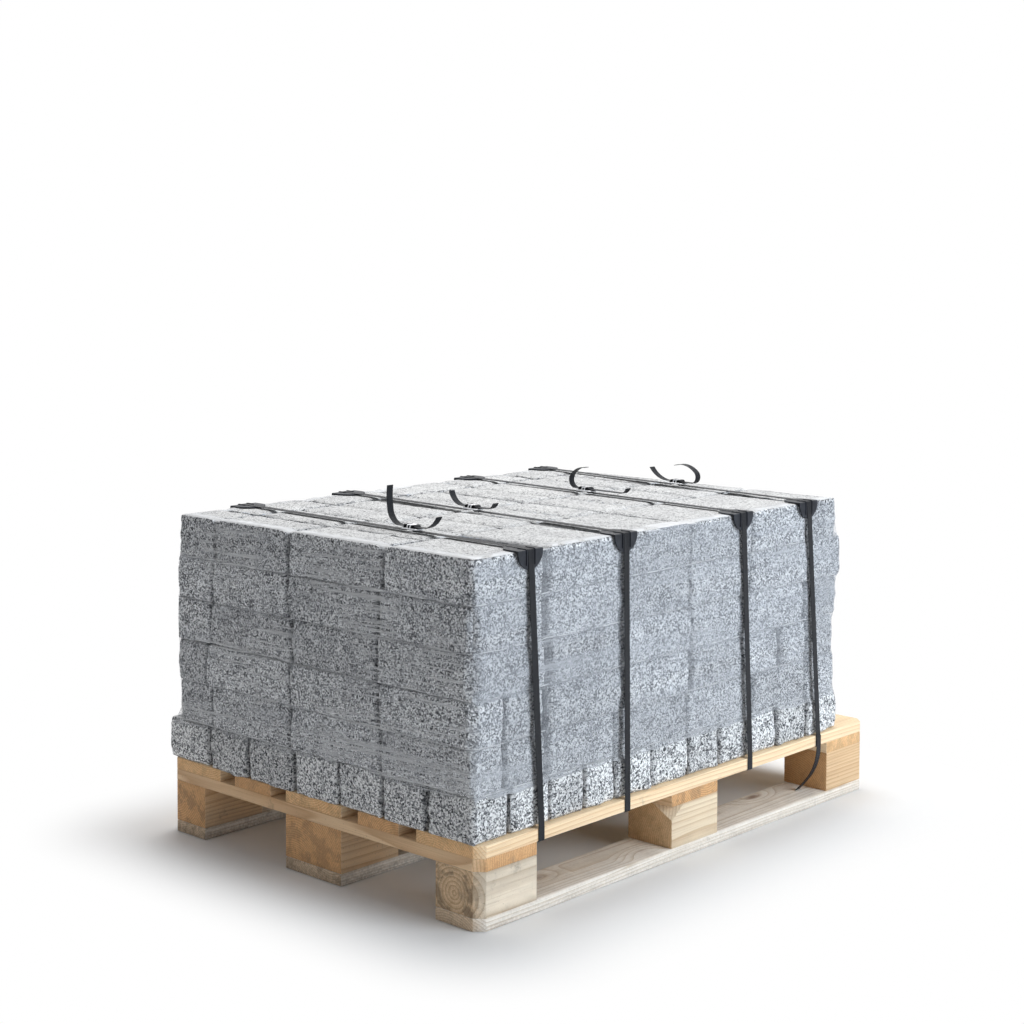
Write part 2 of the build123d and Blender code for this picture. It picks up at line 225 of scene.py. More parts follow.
def open_group(name, inputs, outputs):
    """A shader group. Returns its tree, its input sockets and its output node."""
    tree = bpy.data.node_groups.new(name, "ShaderNodeTree")
    for label, kind, value in inputs:
        socket = tree.interface.new_socket(label, in_out="INPUT", socket_type=kind)
        if value is not None:
            socket.default_value = value
    for label, kind in outputs:
        tree.interface.new_socket(label, in_out="OUTPUT", socket_type=kind)
    into = tree.nodes.new("NodeGroupInput")
    out = tree.nodes.new("NodeGroupOutput")
    return tree, into.outputs, out


def new_material(name, **constants):
    """A material with one Principled shader. Returns the material, its tree and the shader."""
    material = bpy.data.materials.new(name)
    material.use_nodes = True
    tree = material.node_tree
    shader = tree.nodes["Principled BSDF"]
    for key, value in constants.items():
        shader.inputs[key.replace("_", " ")].default_value = value
    return material, tree, shader


def object_place(tree):
    return add_node(tree, "ShaderNodeTexCoord").outputs["Object"]


def bump_into(tree, shader, height, distance, strength=1.0):
    bump = add_node(tree, "ShaderNodeBump", {"Height": height, "Distance": distance, "Strength": strength})
    tree.links.new(bump.outputs[0], shader.inputs["Normal"])


# Height of the film's bundled lines above its hem, and the pitch of the strap's pressed diamonds, per metre
HEM_LINES = (0.02, 0.075)
DIAMONDS = 3600.0

FLOAT = "NodeSocketFloat"
COLOUR = "NodeSocketColor"
VECTOR = "NodeSocketVector"


# Granite

def granite_grain_group():
    """Interlocking crystals of pale feldspar, grey quartz and black mica, dusted and pitted where sawn."""
    inputs = [("Place", VECTOR, None), ("Grain", FLOAT, 200.0), ("Dark", FLOAT, 0.0), ("Sawn", FLOAT, 0.0)]
    tree, into, out = open_group("granite_grain", inputs, [("Color", COLOUR), ("Height", FLOAT)])
    wander = add_node(tree, "ShaderNodeTexNoise", {"Vector": into["Place"], "Scale": 260.0, "Detail": 1.0})
    wander = scaled(tree, wander.outputs["Color"], 0.0015)
    place = vector_maths(tree, "ADD", into["Place"], wander)
    scale = times(tree, into["Grain"], plus(tree, 1.0, times(tree, into["Sawn"], 0.35)))
    crystals = cells(tree, place, scale)
    flecks = cells(tree, place, times(tree, scale, 1.8))
    clusters = noise(tree, into["Place"], 45.0, 3.0)
    kind = plus(tree, chance_of(tree, crystals, 0), times(tree, less(tree, clusters, 0.5), 0.42))
    kind = less(tree, kind, into["Dark"])
    stone = steps(tree, kind, [
        (0.0, (0.035, 0.036, 0.04)), (0.18, (0.05, 0.052, 0.057)), (0.21, (0.17, 0.175, 0.185)),
        (0.38, (0.26, 0.265, 0.275)), (0.44, (0.46, 0.465, 0.47)), (0.62, (0.56, 0.56, 0.56)),
        (0.67, (0.86, 0.855, 0.845)), (1.0, (0.96, 0.955, 0.945))])
    dust = steps(tree, kind, [
        (0.0, (0.12, 0.12, 0.12)), (0.1, (0.2, 0.2, 0.2)), (0.14, (0.57, 0.565, 0.555)),
        (0.4, (0.67, 0.66, 0.645)), (0.6, (0.73, 0.72, 0.7)), (1.0, (0.8, 0.79, 0.77))])
    stone = mixed(tree, into["Sawn"], stone, dust)
    mica = ranged(tree, chance_of(tree, flecks, 1), 0.86, 0.9)
    stone = mixed(tree, times(tree, mica, 0.62), stone, (0.07, 0.07, 0.075, 1))
    broad = noise(tree, into["Place"], 11.0, 4.0, 0.6)
    broad = steps(tree, broad, [(0.3, (0.84, 0.84, 0.85)), (0.7, (1.03, 1.03, 1.03))])
    stone = mixed(tree, 1.0, stone, broad, "MULTIPLY")
    rust = ranged(tree, noise(tree, into["Place"], 7.0, 6.0, 0.75), 0.68, 0.76, 0.0, 0.6)
    stone = mixed(tree, rust, stone, (0.5, 0.33, 0.19, 1))
    pits = cells(tree, vector_maths(tree, "MULTIPLY", place, (1.0, 0.6, 1.0)), 190.0)
    pit = ranged(tree, chance_of(tree, pits, 0), 0.74, 0.78)
    pit = times(tree, pit, ranged(tree, pits.outputs["Distance"], 0.25, 0.5, 1.0, 0.0))
    pit = times(tree, pit, into["Sawn"])
    stone = mixed(tree, times(tree, pit, 0.8), stone, (0.1, 0.1, 0.11, 1))
    rough = times(tree, noise(tree, into["Place"], 95.0, 4.0, 0.65), 1.6)
    height = plus(tree, times(tree, crystals.outputs["Distance"], 0.4), rough)
    tree.links.new(stone, out.inputs["Color"])
    tree.links.new(height, out.inputs["Height"])
    return tree


def bed_lines_group():
    """Thin wandering lines at the level beds between the courses, where shade and highlights are painted."""
    inputs = [("Place", VECTOR, None), ("Width", FLOAT, 0.0015), ("Above", FLOAT, 0.0)]
    tree, into, out = open_group("bed_lines", inputs, [("Line", FLOAT)])
    level = axes_of(tree, into["Place"])[2]
    wander = times(tree, less(tree, noise(tree, into["Place"], 16.0, 4.0, 0.6), 0.5), 0.007)
    level = less(tree, plus(tree, level, wander), into["Above"])
    turn = maths(tree, "FRACT", maths(tree, "DIVIDE", less(tree, level, BED_START), BED_STEP))
    off = times(tree, maths(tree, "MINIMUM", turn, less(tree, 1.0, turn)), BED_STEP)
    line = ranged(tree, off, 0.0, into["Width"], 1.0, 0.0, kind="LINEAR")
    broken = ranged(tree, noise(tree, into["Place"], 30.0, 2.0), 0.4, 0.58)
    tree.links.new(times(tree, line, broken), out.inputs["Line"])
    return tree


def granite_material(name, size, dark, tint, relief, in_film):
    """Granite, a tone for each sett, with painted shade in beds, dirty joints and chipped top arrises."""
    material, tree, shader = new_material(name, Roughness=0.82)
    place = object_place(tree)
    sawn = ranged(tree, normal_axes(tree)[2], 0.75, 0.93)
    grain = add_node(tree, "ShaderNodeGroup", node_tree=granite_grain)
    for label, value in (("Grain", size), ("Dark", dark)):
        grain.inputs[label].default_value = value
    tree.links.new(place, grain.inputs["Place"])
    tree.links.new(sawn, grain.inputs["Sawn"])
    tone = ranged(tree, painted(tree, "sett_tone"), 0.0, 1.0, 0.84, 1.07)
    evened = times(tree, less(tree, 0.97, tone), times(tree, sawn, 0.8))
    tone = plus(tree, tone, evened)
    colour = mixed(tree, 1.0, grain.outputs["Color"], (*tint, 1), "MULTIPLY")
    colour = scaled(tree, colour, tone)
    if in_film:
        # Painted shade: dark lines along the beds between the courses
        beds = add_node(tree, "ShaderNodeGroup", node_tree=bed_lines)
        beds.inputs["Width"].default_value = 0.0016
        tree.links.new(place, beds.inputs["Place"])
        line = times(tree, beds.outputs[0], less(tree, 1.0, sawn))
        colour = mixed(tree, times(tree, line, 0.8), colour, (0.05, 0.052, 0.06, 1))
    # Dark joints: dirt and painted shade, read from the joint_shade kept on the stones
    joint = times(tree, painted(tree, "joint_shade"), 0.85)
    colour = mixed(tree, joint, colour, (0.045, 0.048, 0.056, 1))
    # Chips at the top arrises: painted shade in them, bluish in patches
    dashes = ranged(tree, noise(tree, place, 60.0, 5.0, 0.75), 0.48, 0.54)
    chip = times(tree, ranged(tree, painted(tree, "chip_wear_and_shade"), 0.5, 0.72), dashes)
    fresh = ranged(tree, noise(tree, place, 9.0, 2.0), 0.52, 0.6)
    split = mixed(tree, fresh, (0.08, 0.082, 0.09, 1), (0.36, 0.43, 0.54, 1))
    colour = mixed(tree, times(tree, chip, 0.85), colour, split)
    tree.links.new(colour, shader.inputs["Base Color"])
    bump_into(tree, shader, grain.outputs["Height"], 0.0011, relief)
    return material


def timber_grain_group():
    """Growth rings round a pith line along X, fibres along them, and knots that the rings flow round."""
    inputs = [
        ("Place", VECTOR, None), ("Ring", FLOAT, 0.0042), ("Light", COLOUR, (0.78, 0.56, 0.34, 1)),
        ("Dark", COLOUR, (0.5, 0.27, 0.12, 1)), ("Knots", FLOAT, 0.5), ("Grey", FLOAT, 0.3),
        ("End", FLOAT, 0.0)]
    outputs = [("Color", COLOUR), ("Height", FLOAT), ("Roughness", FLOAT)]
    tree, into, out = open_group("timber_grain", inputs, outputs)
    place = into["Place"]
    knots = cells(tree, vector_maths(tree, "MULTIPLY", place, (4.2, 11.0, 11.0)), 1.0)
    near = ranged(tree, knots.outputs["Distance"], 0.05, 0.42, 1.0, 0.0)
    chosen = maths(tree, "LESS_THAN", chance_of(tree, knots, 0), into["Knots"])
    near = times(tree, near, chosen)
    axes = axes_of(tree, place)
    across, up = maths(tree, "POWER", axes[1], 2.0), maths(tree, "POWER", axes[2], 2.0)
    radius = maths(tree, "SQRT", plus(tree, across, up))
    wander = stretched_noise(tree, place, (1.3, 9.0, 9.0))
    radius = plus(tree, radius, times(tree, wander, 0.02))
    radius = plus(tree, radius, times(tree, near, 0.012))
    turn = maths(tree, "FRACT", maths(tree, "DIVIDE", radius, into["Ring"]))
    late = maths(tree, "POWER", turn, less(tree, 3.2, times(tree, into["End"], 1.4)))
    late = times(tree, late, ranged(tree, turn, 0.93, 1.0, 1.0, 0.0))
    fibre = stretched_noise(tree, place, (7.0, 420.0, 420.0), 3.0, 0.6)
    streak = stretched_noise(tree, place, (2.2, 60.0, 60.0))
    colour = mixed(tree, times(tree, late, 0.9), into["Light"], into["Dark"])
    colour = mixed(tree, ranged(tree, streak, 0.42, 0.8, 0.0, 0.3), colour, into["Dark"])
    colour = mixed(tree, ranged(tree, fibre, 0.5, 0.75, 0.0, 0.36), colour, (0.36, 0.21, 0.11, 1))
    rough_end = ranged(tree, noise(tree, place, 330.0, 3.0, 0.7), 0.45, 0.66, 0.0, 0.3)
    colour = mixed(tree, times(tree, rough_end, into["End"]), colour, (0.3, 0.18, 0.1, 1))
    patches = ranged(tree, stretched_noise(tree, place, (5.0, 14.0, 14.0), 4.0, 0.6), 0.35, 0.7)
    side = less(tree, 1.0, times(tree, into["End"], 0.9))
    grey = times(tree, times(tree, patches, into["Grey"]), side, clamp=True)
    colour = mixed(tree, grey, colour, (0.46, 0.4, 0.32, 1))
    ring_of_knot = ranged(tree, knots.outputs["Distance"], 0.06, 0.15, 1.0, 0.0)
    ring_of_knot = times(tree, ring_of_knot, chosen)
    colour = mixed(tree, times(tree, ring_of_knot, 0.75), colour, (0.22, 0.09, 0.035, 1))
    heart = ranged(tree, knots.outputs["Distance"], 0.03, 0.1, 1.0, 0.0)
    heart = times(tree, times(tree, heart, chosen), 0.6)
    colour = mixed(tree, heart, colour, (0.09, 0.04, 0.02, 1))
    stain = ranged(tree, noise(tree, place, 34.0, 5.0, 0.7), 0.46, 0.58)
    sapwood = times(tree, ranged(tree, radius, 0.034, 0.044), stain)
    sapwood = times(tree, times(tree, sapwood, into["End"]), into["Grey"])
    colour = mixed(tree, sapwood, colour, (0.12, 0.1, 0.08, 1))
    end_dark = mixed(tree, 1.0, colour, (0.92, 0.78, 0.62, 1), "MULTIPLY")
    colour = mixed(tree, into["End"], colour, end_dark)
    height = plus(tree, times(tree, late, -0.35), times(tree, fibre, 0.8))
    height = plus(tree, height, times(tree, noise(tree, place, 900.0), 0.4))
    tree.links.new(colour, out.inputs["Color"])
    tree.links.new(height, out.inputs["Height"])
    tree.links.new(ranged(tree, fibre, 0.2, 0.8, 0.62, 0.85), out.inputs["Roughness"])
    return tree


def grime_group():
    """Dirt from the ground and the fork trucks, thicker low down and in patches."""
    inputs = [
        ("Color", COLOUR, (1, 1, 1, 1)), ("Place", VECTOR, None), ("Low", FLOAT, 0.0), ("High", FLOAT, 0.03),
        ("Amount", FLOAT, 0.5)]
    tree, into, out = open_group("yard_grime", inputs, [("Color", COLOUR)])
    level = axes_of(tree, into["Place"])[2]
    patches = noise(tree, into["Place"], 28.0, 5.0, 0.65)
    level = plus(tree, level, times(tree, less(tree, patches, 0.5), 0.05))
    low_dirt = ranged(tree, level, into["Low"], into["High"], 1.0, 0.0, kind="LINEAR")
    specks = ranged(tree, noise(tree, into["Place"], 260.0, 3.0, 0.7), 0.6, 0.7, 0.0, 0.7)
    blotches = ranged(tree, noise(tree, into["Place"], 19.0, 5.0, 0.65), 0.6, 0.7, 0.0, 0.75)
    broken = ranged(tree, noise(tree, into["Place"], 190.0, 4.0, 0.7), 0.36, 0.6, 0.45, 1.0)
    dirt = times(tree, maths(tree, "MAXIMUM", low_dirt, blotches), broken)
    dirt = maths(tree, "MAXIMUM", dirt, specks)
    dirt = times(tree, dirt, into["Amount"], clamp=True)
    tree.links.new(mixed(tree, dirt, into["Color"], (0.13, 0.105, 0.08, 1)), out.inputs["Color"])
    return tree


BED_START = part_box("setts_course_1")[0].z
BED_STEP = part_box("setts_course_1")[1].z - BED_START
FILM_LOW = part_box("stretch_film")[0].z
granite_grain = granite_grain_group()
bed_lines = bed_lines_group()
timber_grain = timber_grain_group()
yard_grime = grime_group()


def timber_material(name, pith, across, light, dark, knots, grey, grime, ring):
    """Wood whose pith line runs along X, or along Y where across is set, through the place pith."""
    material, tree, shader = new_material(name)
    place = object_place(tree)
    turn = (0, 0, math.radians(-90 if across else 0))
    log = add_node(tree, "ShaderNodeMapping", {"Vector": place, "Location": pith, "Rotation": turn})
    along = normal_axes(tree)[1 if across else 0]
    end = ranged(tree, maths(tree, "ABSOLUTE", along), 0.6, 0.85)
    grain = add_node(tree, "ShaderNodeGroup", node_tree=timber_grain)
    facts = {"Ring": ring, "Light": (*light, 1), "Dark": (*dark, 1), "Knots": knots, "Grey": grey}
    for label, value in facts.items():
        grain.inputs[label].default_value = value
    tree.links.new(log.outputs[0], grain.inputs["Place"])
    tree.links.new(end, grain.inputs["End"])
    dirt = add_node(tree, "ShaderNodeGroup", node_tree=yard_grime)
    dirt.inputs["Amount"].default_value = grime
    dirt.inputs["Low"].default_value = -0.01
    dirt.inputs["High"].default_value = 0.035
    tree.links.new(grain.outputs["Color"], dirt.inputs["Color"])
    tree.links.new(place, dirt.inputs["Place"])
    tree.links.new(dirt.outputs[0], shader.inputs["Base Color"])
    tree.links.new(grain.outputs["Roughness"], shader.inputs["Roughness"])
    bump_into(tree, shader, grain.outputs["Height"], 0.0007)
    return material


def film_material():
    """Clear stretch film: haze, fine lines pulled in winding, painted highlights on bed creases, a milky top
    fold.
    """
    material, tree, shader = new_material("clear_stretch_film", Roughness=0.42, Specular_IOR_Level=0.3)
    place = object_place(tree)
    facing = normal_axes(tree)
    fold = ranged(tree, facing[2], 0.55, 0.9)
    ends = ranged(tree, maths(tree, "ABSOLUTE", facing[0]), 0.4, 0.9)
    at_ends = ranged(tree, ends, 0.0, 1.0, 0.35, 1.0)
    slant = add_node(tree, "ShaderNodeMapping", {"Vector": place, "Rotation": (0.02, -0.012, 0)}).outputs[0]
    lines = stretched_noise(tree, slant, (4.0, 4.0, 310.0), 4.0, 0.75)
    bands = stretched_noise(tree, slant, (1.6, 1.6, 40.0))
    patches = noise(tree, place, 7.0, 3.0)
    pulled = ranged(tree, lines, 0.51, 0.56)
    pulled = times(tree, pulled, ranged(tree, patches, 0.42, 0.58, 0.15, 0.9))
    pulled = times(tree, pulled, at_ends)
    level = axes_of(tree, slant)[2]
    bundle = stretched_noise(tree, slant, (3.0, 3.0, 420.0), 3.0, 0.7)
    bundle = ranged(tree, bundle, 0.47, 0.58, 0.0, 0.9)
    hem = ranged(tree, level, FILM_LOW + HEM_LINES[0], FILM_LOW + HEM_LINES[1], 1.0, 0.0)
    bundle = times(tree, bundle, hem)
    pulled = maths(tree, "MAXIMUM", pulled, times(tree, bundle, at_ends))
    # Painted highlights: whiter, denser film just above each bed, where the film rides over the course's
    # edge
    crease_highlight = add_node(tree, "ShaderNodeGroup", node_tree=bed_lines)
    crease_highlight.inputs["Width"].default_value = 0.0017
    crease_highlight.inputs["Above"].default_value = 0.0022
    tree.links.new(place, crease_highlight.inputs["Place"])
    haze = ranged(tree, bands, 0.3, 0.75, 0.1, 0.26)
    haze = times(tree, haze, less(tree, 1.0, times(tree, ends, 0.9)))
    haze = plus(tree, haze, times(tree, pulled, 0.4))
    haze = plus(tree, haze, times(tree, crease_highlight.outputs[0], 0.36))
    haze = plus(tree, haze, times(tree, fold, 0.42), clamp=True)
    tree.links.new(haze, shader.inputs["Alpha"])
    # Whiteness from the pulled lines, the painted crease highlights and the milky fold
    white = maths(tree, "MAXIMUM", pulled, crease_highlight.outputs[0])
    white = maths(tree, "MAXIMUM", white, times(tree, fold, 0.8))
    colour = mixed(tree, white, (0.52, 0.55, 0.6, 1), (0.8, 0.81, 0.82, 1))
    tree.links.new(colour, shader.inputs["Base Color"])
    bump_into(tree, shader, plus(tree, lines, patches), 0.0005, 0.6)
    return material


def strap_material():
    """Black strap with lengthwise drawing lines and a fine pressed diamond pattern."""
    material, tree, shader = new_material("black_strap_band", Specular_IOR_Level=0.16)
    place = object_place(tree)
    draw = stretched_noise(tree, place, (1500.0, 6.0, 6.0))
    scuff = stretched_noise(tree, place, (220.0, 26.0, 26.0), 4.0, 0.7)
    colour = steps(tree, scuff, [
        (0.35, (0.008, 0.009, 0.012)), (0.66, (0.015, 0.017, 0.022)), (0.8, (0.045, 0.05, 0.062))])
    tree.links.new(colour, shader.inputs["Base Color"])
    tree.links.new(ranged(tree, draw, 0.3, 0.7, 0.32, 0.5), shader.inputs["Roughness"])
    axes = axes_of(tree, place)
    run = plus(tree, axes[1], axes[2])
    first = maths(tree, "SINE", times(tree, plus(tree, run, axes[0]), DIAMONDS))
    second = maths(tree, "SINE", times(tree, less(tree, run, axes[0]), DIAMONDS))
    height = plus(tree, times(tree, first, second), times(tree, draw, 0.8))
    bump_into(tree, shader, height, 0.00016)
    return material


def protector_material():
    """Black moulded plastic with a faint mould texture and dust on what faces up."""
    material, tree, shader = new_material("black_moulded_plastic", Specular_IOR_Level=0.17)
    place = object_place(tree)
    dust = ranged(tree, normal_axes(tree)[2], 0.3, 0.95, 0.03, 0.14)
    dust = times(tree, dust, noise(tree, place, 90.0, 4.0, 0.7))
    shade = noise(tree, place, 45.0, 3.0)
    shade = steps(tree, shade, [(0.3, (0.009, 0.011, 0.016)), (0.7, (0.02, 0.023, 0.032))])
    colour = mixed(tree, dust, shade, (0.5, 0.5, 0.5, 1))
    tree.links.new(colour, shader.inputs["Base Color"])
    dull = ranged(tree, noise(tree, place, 130.0), 0.3, 0.7, 0.4, 0.58)
    tree.links.new(dull, shader.inputs["Roughness"])
    bump_into(tree, shader, noise(tree, place, 1400.0), 0.00012)
    return material


def wire_material():
    """Galvanised wire, with the spangle and the dull patches of zinc."""
    material, tree, shader = new_material("galvanised_zinc", Metallic=1.0)
    place = object_place(tree)
    patches = noise(tree, place, 240.0, 3.0)
    colour = steps(tree, patches, [(0.3, (0.4, 0.41, 0.43)), (0.7, (0.64, 0.65, 0.67))])
    tree.links.new(colour, shader.inputs["Base Color"])
    tree.links.new(ranged(tree, patches, 0.3, 0.7, 0.3, 0.52), shader.inputs["Roughness"])
    bump_into(tree, shader, noise(tree, place, 900.0, 2.0), 0.0001)
    return material


# Stage: camera, lamps, world and floor

def set_camera():
    camera = bpy.data.objects.new("camera", bpy.data.cameras.new("camera"))
    bpy.context.scene.collection.objects.link(camera)
    camera.location = CAMERA_PLACE
    camera.rotation_euler = (math.radians(90 + CAMERA_PITCH), 0, math.radians(CAMERA_YAW))
    camera.data.sensor_width = SENSOR
    camera.data.lens = FOCAL_PIXELS / PICTURE * SENSOR
    camera.data.shift_x = (PICTURE / 2 - PRINCIPAL_POINT[0]) / PICTURE
    camera.data.shift_y = (PRINCIPAL_POINT[1] - PICTURE / 2) / PICTURE
    bpy.context.scene.camera = camera


def add_lamp(name, place, target, size, power, colour):
    data = bpy.data.lights.new(name, "AREA")
    data.shape = "SQUARE"
    data.size = size
    data.energy = power
    data.color = colour
    lamp = bpy.data.objects.new(name, data)
    bpy.context.scene.collection.objects.link(lamp)
    lamp.location = place
    way = [b - a for a, b in zip(place, target)]
    flat = math.hypot(way[0], way[1])
    lamp.rotation_euler = (math.atan2(flat, -way[2]), 0, math.atan2(way[1], way[0]) - math.pi / 2)


# Name, place, target, size in metres, watts and colour
LAMPS = [
    ("overhead", (0.7, 0.55, 3.1), (0.1, 0.3, 0.4), 2.6, 92, (1.0, 0.985, 0.965)),
    ("right_key", (0.75, -3.7, 1.55), (0.1, -0.3, 0.35), 2.8, 124, (0.855, 0.93, 1.0)),
    ("left_fill", (-3.6, 0.6, 1.5), (-0.5, 0, 0.3), 2.0, 8, (1.0, 0.98, 0.95))]


def seen_rays(tree):
    """One for rays from the camera, mirrored or let through, none for those that only light."""
    seen = add_node(tree, "ShaderNodeLightPath")
    mask = plus(tree, seen.outputs["Is Camera Ray"], seen.outputs["Is Glossy Ray"])
    return plus(tree, mask, seen.outputs["Is Transmission Ray"], clamp=True)


def light_the_stage():
    for lamp in LAMPS:
        add_lamp(*lamp)
    world = bpy.data.worlds.new("studio")
    bpy.context.scene.world = world
    world.use_nodes = True
    tree = world.node_tree
    tree.nodes.clear()
    mask = seen_rays(tree)
    ambient = add_node(tree, "ShaderNodeBackground", {"Color": (0.94, 0.96, 1.0, 1), "Strength": 0.22})
    white = add_node(tree, "ShaderNodeBackground", {"Color": (1, 1, 1, 1), "Strength": 1.0})
    both = add_node(tree, "ShaderNodeMixShader", {0: mask, 1: ambient.outputs[0], 2: white.outputs[0]})
    add_node(tree, "ShaderNodeOutputWorld", {"Surface": both.outputs[0]})


# The floor is seen as white beyond a narrow shadow round the pallet: half the pallet's size, and the range
PALLET_HALF = (0.6, 0.4, 0.0)
WHITE_FROM = (0.02, 0.3)


def lay_floor():
    bpy.ops.object.select_all(action="DESELECT")
    bpy.ops.mesh.primitive_circle_add(vertices=96, radius=30, fill_type="NGON", location=(0, 0, -0.0005))
    floor = bpy.context.object
    floor.name = "studio_floor"
    bpy.ops.object.transform_apply(location=True)
    material = bpy.data.materials.new("pale_floor")
    material.use_nodes = True
    tree = material.node_tree
    shader = tree.nodes["Principled BSDF"]
    shader.inputs["Base Color"].default_value = (0.86, 0.86, 0.86, 1)
    shader.inputs["Roughness"].default_value = 0.9
    shader.inputs["Specular IOR Level"].default_value = 0.1
    place = object_place(tree)
    beyond = vector_maths(tree, "ABSOLUTE", place)
    beyond = vector_maths(tree, "SUBTRACT", beyond, PALLET_HALF)
    beyond = vector_maths(tree, "MAXIMUM", beyond, (0.0, 0.0, 0.0))
    far = add_node(tree, "ShaderNodeVectorMath", {0: beyond}, operation="LENGTH").outputs["Value"]
    far = times(tree, ranged(tree, far, *WHITE_FROM), seen_rays(tree))
    white = add_node(tree, "ShaderNodeEmission", {"Color": (1, 1, 1, 1), "Strength": 1.0})
    both = add_node(tree, "ShaderNodeMixShader", {0: far, 1: shader.outputs[0], 2: white.outputs[0]})
    tree.links.new(both.outputs[0], tree.nodes["Material Output"].inputs["Surface"])
    floor.data.materials.append(material)


bpy.context.scene.view_settings.view_transform = "Standard"
set_camera()
light_the_stage()
lay_floor()


# Setts: each stone of the CAD courses, its seen sides split and rough

OUTER_REACH = 0.03
SPLIT_ANGLE = 38
STONE_VOXEL = 0.0046
TOP_VOXEL = 0.0062
STONE_SHIFT = 0.0015
BARE_SHIFT = 0.003
END_SHIFT = 0.0025
BARE_TURN = 1.0
COURSE_SHIFT = {1: -0.002, 2: 0.001, 3: -0.0005, 4: -0.0005, 5: 0.0, 6: 0.0005}
ARRIS_REACH = 0.009
TOP_ARRIS_REACH = 0.016
COURSE_TRIANGLES = 105000
TOP_TRIANGLES = 175000

WRAPPED = range(2, 7)
BARE = range(1, 2)
LONG_SIDE = (1, -1)
SHORT_SIDE = (0, -1)
LOWER, HIGHER = -1, 1
BOTH = (LOWER, HIGHER)

# Joints that the photograph shows more or less broken away than others: courses, side, the place along the
# side, which ends of the stones there, and how far
SEEN_JOINTS = [
    (WRAPPED, LONG_SIDE, -0.42, (LOWER,), 2.6),
    (range(2, 3), LONG_SIDE, 0.195, (LOWER,), 2.2),
    (range(3, 4), LONG_SIDE, 0.29, (LOWER,), 2.4),
    (range(3, 4), LONG_SIDE, -0.005, (LOWER,), 1.6),
    (WRAPPED, SHORT_SIDE, -0.17, (HIGHER,), 1.0),
    (WRAPPED, SHORT_SIDE, -0.17, (LOWER,), 0.4),
    (WRAPPED, SHORT_SIDE, 0.056, (LOWER,), 0.5),
    (WRAPPED, SHORT_SIDE, 0.275, BOTH, 0.2),
    (BARE, SHORT_SIDE, -0.068, BOTH, 0.2),
    (BARE, LONG_SIDE, -0.41, BOTH, 0.2),
    (BARE, LONG_SIDE, -0.315, BOTH, 0.2)]
JOINT_REACH = 0.012

# How far other joints are broken away, bare and behind film
BARE_WEAR = (0.6, 1.3)
WRAPPED_WEAR = (0.2, 0.7)

# How far the load's near upright corner is broken away, course by course, and the other three
CORNER_WEAR = {1: 0.8, 2: 1.4, 3: 3.4, 4: 4.0, 5: 3.2, 6: 0.7}
OTHER_CORNER_WEAR = 0.6
BED_WEAR = 0.5

# Depth in metres for each part of wear, the most wear, how wide it spreads, and the dirt and painted shade
# in the joint beside it: their depth and their reach, each a start and a part that grows with the wear
WORN_DEPTH = 0.0042
WORN_MOST = 4.0
WORN_SPREAD = 0.45
DIRT_AND_SHADE_DEPTH = (0.08, 0.34)
DIRT_AND_SHADE_REACH = (0.002, 0.007)


def cloud(name, scale, depth=2):
    texture = bpy.data.textures.new(name, "CLOUDS")
    texture.noise_scale = scale
    texture.noise_depth = depth
    return texture


def facets(name, scale):
    texture = bpy.data.textures.new(name, "VORONOI")
    texture.noise_scale = scale
    texture.distance_metric = "DISTANCE"
    return texture


broad_split = cloud("broad_split", 0.085)
split_facets = facets("split_facets", 0.034)
fine_split = cloud("fine_split", 0.012, 3)
chipped_edge = cloud("chipped_edge", 0.02, 2)

# Texture, strength on the bare course and behind the film, and the level that stays in place
RELIEF = [
    (broad_split, 0.01, 0.006, 0.52),
    (split_facets, 0.0055, 0.0025, 0.45),
    (fine_split, 0.0035, 0.0022, 0.55)]


def outward_sides(low, high, course_low, course_high):
    """The ways, along X and Y, in which a stone is at the outside of its course."""
    ways = []
    for axis in (0, 1):
        if low[axis] < course_low[axis] + OUTER_REACH:
            ways.append((axis, -1))
        if high[axis] > course_high[axis] - OUTER_REACH:
            ways.append((axis, 1))
    return ways


def paint(stone, name, values):
    """Keeps one number for each vertex of a stone, for its material to read."""
    stone.data.attributes.new(name, "FLOAT", "POINT").data.foreach_set("value", values)


def settle_stone(stone, ways, middle, number):
    """Moves a stone in from the outside by a few millimetres, and turns a bare one slightly."""
    bare = number == 1
    only(stone)
    bpy.ops.object.mode_set(mode="EDIT")
    bpy.ops.mesh.select_all(action="SELECT")
    for axis, way in ways:
        shift = [0, 0, 0]
        drawn_in = COURSE_SHIFT[number] + DRAWS.uniform(0, BARE_SHIFT if bare else STONE_SHIFT)
        if axis == 0 and not bare:
            drawn_in -= END_SHIFT
        shift[axis] = -way * drawn_in
        bpy.ops.transform.translate(value=shift)
    if bare and ways:
        turn = math.radians(DRAWS.uniform(-BARE_TURN, BARE_TURN))
        bpy.ops.transform.rotate(value=turn, orient_axis="Z", center_override=tuple(middle))
    bpy.ops.object.mode_set(mode="OBJECT")


def wear_at(number, side, place, which):
    """How far one upright arris of a stone is broken away."""
    wear = DRAWS.uniform(*(BARE_WEAR if number == 1 else WRAPPED_WEAR))
    for seen_courses, seen_side, seen_place, ends, seen_wear in SEEN_JOINTS:
        same_end = side == seen_side and which in ends and number in seen_courses
        if same_end and abs(place - seen_place) < JOINT_REACH:
            wear = seen_wear
    return wear


